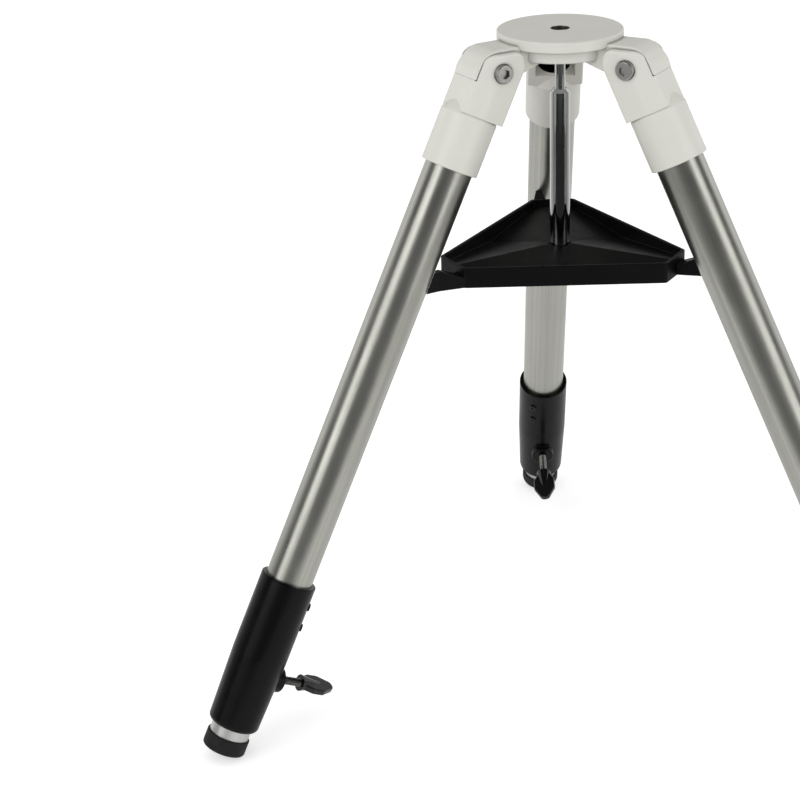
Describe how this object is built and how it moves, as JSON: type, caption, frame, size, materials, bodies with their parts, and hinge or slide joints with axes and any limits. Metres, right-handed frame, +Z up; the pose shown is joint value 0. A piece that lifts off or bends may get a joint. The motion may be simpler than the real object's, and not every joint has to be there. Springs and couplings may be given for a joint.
{
  "type": "field tripod",
  "caption": "Field tripod with a flat round head plate, central locking stud, telescopic steel legs with wing-screw clamps, rubber feet and a spreader tray that turns to let the legs fold.",
  "frame": {"origin": "centre of the top face of the head plate, on the axis of the locking stud", "axes": "+Z up along the stud; +Y towards the rear leg; the front legs stand at -X and +X"},
  "size_m": [0.6972, 0.6095, 0.644],
  "materials": {
    "head_paint": "satin",
    "bracket_paint": "satin",
    "hinge_steel": "dark satin",
    "tube_steel": "brushed",
    "sleeve_plastic": "semi-gloss",
    "screw_steel": "blackened",
    "lock_steel": "blackened",
    "knob_plastic": "gloss",
    "inner_aluminium": "satin",
    "bush_plastic": "matt",
    "foot_rubber": "matt",
    "shaft_chrome": "polished",
    "clip_steel": "plain",
    "tray_plastic": "satin",
    "tray_knob_plastic": "satin"
  },
  "bodies": {
    "head": {"tripod_head": "head_paint"},
    "clip": {"stud_clip": "clip_steel"},
    "shaft": {"locking_shaft": "shaft_chrome"},
    "tray": {"tray": "tray_plastic"},
    "tray_knob": {"tray_knob": "tray_knob_plastic"},
    "leg_1": {"leg_1_bracket": "bracket_paint", "leg_1_hinge_bolt": "hinge_steel", "leg_1_hinge_nut": "hinge_steel", "leg_1_outer_tube": "tube_steel", "leg_1_clamp_sleeve": "sleeve_plastic", "leg_1_sleeve_screws": "screw_steel"},
    "leg_1_lower": {"leg_1_inner_tube": "inner_aluminium", "leg_1_guide_bush": "bush_plastic", "leg_1_foot": "foot_rubber"},
    "leg_1_lock": {"leg_1_lock_screw": "lock_steel", "leg_1_lock_knob": "knob_plastic"},
    "leg_2": {"leg_2_bracket": "bracket_paint", "leg_2_hinge_bolt": "hinge_steel", "leg_2_hinge_nut": "hinge_steel", "leg_2_outer_tube": "tube_steel", "leg_2_clamp_sleeve": "sleeve_plastic", "leg_2_sleeve_screws": "screw_steel"},
    "leg_2_lower": {"leg_2_inner_tube": "inner_aluminium", "leg_2_guide_bush": "bush_plastic", "leg_2_foot": "foot_rubber"},
    "leg_2_lock": {"leg_2_lock_screw": "lock_steel", "leg_2_lock_knob": "knob_plastic"},
    "leg_3": {"leg_3_bracket": "bracket_paint", "leg_3_hinge_bolt": "hinge_steel", "leg_3_hinge_nut": "hinge_steel", "leg_3_outer_tube": "tube_steel", "leg_3_clamp_sleeve": "sleeve_plastic", "leg_3_sleeve_screws": "screw_steel"},
    "leg_3_lower": {"leg_3_inner_tube": "inner_aluminium", "leg_3_guide_bush": "bush_plastic", "leg_3_foot": "foot_rubber"},
    "leg_3_lock": {"leg_3_lock_screw": "lock_steel", "leg_3_lock_knob": "knob_plastic"}
  },
  "joints": [
    {"name": "leg_1_fold", "type": "hinge", "parent": "head", "child": "leg_1", "pos_m": [0, 0.077, -0.025], "axis": [-1, 0, 0], "range_deg": [0, 18.5]},
    {"name": "leg_1_extend", "type": "slide", "parent": "leg_1", "child": "leg_1_lower", "axis": [0, 0.4462, -0.8949], "range_m": [0, 0.43]},
    {"name": "leg_1_lock_turn", "type": "hinge", "parent": "leg_1", "child": "leg_1_lock", "pos_m": [0, 0.34695, -0.56644], "axis": [0, -0.8949, -0.4462], "range_deg": [0, 360]},
    {"name": "leg_2_fold", "type": "hinge", "parent": "head", "child": "leg_2", "pos_m": [-0.06668, -0.0385, -0.025], "axis": [0.5, -0.866, 0], "range_deg": [0, 18.5]},
    {"name": "leg_2_extend", "type": "slide", "parent": "leg_2", "child": "leg_2_lower", "axis": [-0.3864, -0.2231, -0.8949], "range_m": [0, 0.43]},
    {"name": "leg_2_lock_turn", "type": "hinge", "parent": "leg_2", "child": "leg_2_lock", "pos_m": [-0.30047, -0.17347, -0.56644], "axis": [0.775, 0.4475, -0.4462], "range_deg": [0, 360]},
    {"name": "leg_3_fold", "type": "hinge", "parent": "head", "child": "leg_3", "pos_m": [0.06668, -0.0385, -0.025], "axis": [0.5, 0.866, 0], "range_deg": [0, 18.5]},
    {"name": "leg_3_extend", "type": "slide", "parent": "leg_3", "child": "leg_3_lower", "axis": [0.3864, -0.2231, -0.8949], "range_m": [0, 0.43]},
    {"name": "leg_3_lock_turn", "type": "hinge", "parent": "leg_3", "child": "leg_3_lock", "pos_m": [0.30047, -0.17347, -0.56644], "axis": [-0.775, 0.4475, -0.4462], "range_deg": [0, 360]},
    {"name": "shaft_lift", "type": "slide", "parent": "head", "child": "clip", "axis": [0, 0, 1], "range_m": [0, 0.012]},
    {"name": "shaft_turn", "type": "hinge", "parent": "clip", "child": "shaft", "pos_m": [0, 0, 0], "axis": [0, 0, 1], "continuous": true},
    {"name": "tray_twist", "type": "hinge", "parent": "head", "child": "tray", "pos_m": [0, 0, 0], "axis": [0, 0, 1], "range_deg": [0, 60]},
    {"name": "tray_knob_turn", "type": "hinge", "parent": "tray", "child": "tray_knob", "pos_m": [0, 0, 0], "axis": [0, 0, -1], "range_deg": [0, 360]}
  ],
  "couplings": [
    {"joint": "leg_2_fold", "follows": "leg_1_fold", "ratio": 1},
    {"joint": "leg_3_fold", "follows": "leg_1_fold", "ratio": 1},
    {"joint": "tray_twist", "follows": "leg_1_fold", "ratio": 3.2432}
  ]
}
